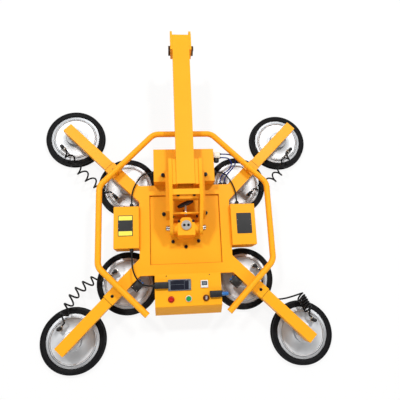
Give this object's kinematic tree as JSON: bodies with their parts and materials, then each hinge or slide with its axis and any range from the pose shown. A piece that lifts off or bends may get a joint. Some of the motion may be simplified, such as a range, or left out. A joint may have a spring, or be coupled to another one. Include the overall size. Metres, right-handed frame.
{
  "type": "vacuum glass panel lifter",
  "caption": "Vacuum lifter for glass panels: sprung control buttons, suction cups on sliding arms, a rotating yoke and a tilting boom with a lifting eye.",
  "frame": {"origin": "bottom centre of the machine's box, on the plane of the cup lips, boom folded flat", "axes": "+Y along the boom towards the lifting eye, +Z away from the glass, +X to the right seen from the operator's side of the panel box"},
  "size_m": [1.3952, 1.6086, 0.32],
  "materials": {
    "yellow_paint": "satin",
    "cup_rubber": "matte",
    "cup_aluminium": "polished",
    "turned_steel": "satin",
    "black_bolts": "satin",
    "bush_brass": "satin",
    "black_plastic": "matte",
    "black_cable": "satin",
    "blue_tube": "satin",
    "display_grey": "satin",
    "white_plastic": "satin",
    "red_plastic": "gloss",
    "green_plastic": "gloss",
    "brown_plastic": "satin",
    "grey_casting": "satin",
    "battery_case": "matte"
  },
  "bodies": {
    "frame": {"main_frame": "yellow_paint", "handle_rail": "yellow_paint", "arm_lock_screws": "black_bolts", "turntable_axle": "turned_steel", "axle_cap": "turned_steel", "slew_bolts": "black_bolts", "pump_box": "yellow_paint", "vacuum_pump": "grey_casting", "battery_box": "yellow_paint", "battery": "battery_case", "charger_box": "yellow_paint", "panel_bolts": "black_bolts", "control_box": "yellow_paint", "display": "display_grey", "gauge": "white_plastic", "button_bezels": "white_plastic", "power_plug": "black_plastic", "air_plug": "black_plastic", "cable_glands": "black_plastic", "vacuum_filter": "black_plastic", "vacuum_switches": "black_plastic", "battery_pump_cable": "black_cable", "charger_pump_cable": "black_cable", "battery_panel_cable": "black_cable", "air_line_outer": "blue_tube", "air_line_inner": "blue_tube", "inner_upper_left_ring": "cup_rubber", "inner_upper_left_disc": "cup_aluminium", "inner_upper_right_ring": "cup_rubber", "inner_upper_right_disc": "cup_aluminium", "inner_lower_left_ring": "cup_rubber", "inner_lower_left_disc": "cup_aluminium", "inner_lower_right_ring": "cup_rubber", "inner_lower_right_disc": "cup_aluminium"},
    "upper_left_arm": {"arm_upper_left": "yellow_paint", "outer_upper_left_ring": "cup_rubber", "outer_upper_left_disc": "cup_aluminium", "hose_upper_left": "black_cable"},
    "upper_right_arm": {"arm_upper_right": "yellow_paint", "outer_upper_right_ring": "cup_rubber", "outer_upper_right_disc": "cup_aluminium", "hose_upper_right": "black_cable"},
    "lower_left_arm": {"arm_lower_left": "yellow_paint", "outer_lower_left_ring": "cup_rubber", "outer_lower_left_disc": "cup_aluminium", "hose_lower_left": "black_cable"},
    "lower_right_arm": {"arm_lower_right": "yellow_paint", "outer_lower_right_ring": "cup_rubber", "outer_lower_right_disc": "cup_aluminium", "hose_lower_right": "black_cable"},
    "turntable": {"yoke": "yellow_paint", "trunnion_bolts": "turned_steel"},
    "boom": {"boom": "yellow_paint", "tilt_bushes": "bush_brass", "head_clevis": "yellow_paint", "head_bolts": "black_bolts"},
    "plunger": {"lock_plunger": "black_plastic"},
    "red_button": {"red_button": "red_plastic"},
    "green_button": {"green_button": "green_plastic"},
    "selector": {"selector_knob": "brown_plastic"}
  },
  "joints": [
    {"name": "turntable_turn", "type": "hinge", "parent": "frame", "child": "turntable", "pos_m": [0, -0.1487, 0.123], "axis": [0, 0, 1], "continuous": true},
    {"name": "boom_tilt", "type": "hinge", "parent": "turntable", "child": "boom", "pos_m": [0, -0.1567, 0.195], "axis": [1, 0, 0], "range_deg": [0, 90]},
    {"name": "plunger_pull", "type": "slide", "parent": "boom", "child": "plunger", "axis": [0, -1, 0], "range_m": [0, 0.02]},
    {"name": "upper_left_extend", "type": "slide", "parent": "frame", "child": "upper_left_arm", "axis": [-0.7071, 0.7071, 0], "range_m": [-0.025, 0.11], "deforming": ["hose_upper_left"]},
    {"name": "upper_right_extend", "type": "slide", "parent": "frame", "child": "upper_right_arm", "axis": [0.7071, 0.7071, 0], "range_m": [-0.025, 0.11], "deforming": ["hose_upper_right"]},
    {"name": "lower_left_extend", "type": "slide", "parent": "frame", "child": "lower_left_arm", "axis": [-0.7071, -0.7071, 0], "range_m": [-0.025, 0.11], "deforming": ["hose_lower_left"]},
    {"name": "lower_right_extend", "type": "slide", "parent": "frame", "child": "lower_right_arm", "axis": [0.7071, -0.7071, 0], "range_m": [-0.025, 0.11], "deforming": ["hose_lower_right"]},
    {"name": "red_button_press", "type": "slide", "parent": "frame", "child": "red_button", "axis": [0, 0, -1], "range_m": [0, 0.0025], "stiffness_N_per_m": 400, "springref_m": -0.002},
    {"name": "green_button_press", "type": "slide", "parent": "frame", "child": "green_button", "axis": [0, 0, -1], "range_m": [0, 0.0025], "stiffness_N_per_m": 400, "springref_m": -0.002},
    {"name": "selector_turn", "type": "hinge", "parent": "frame", "child": "selector", "pos_m": [0.076, -0.4687, 0.2], "axis": [0, 0, 1], "range_deg": [-45, 45]}
  ]
}
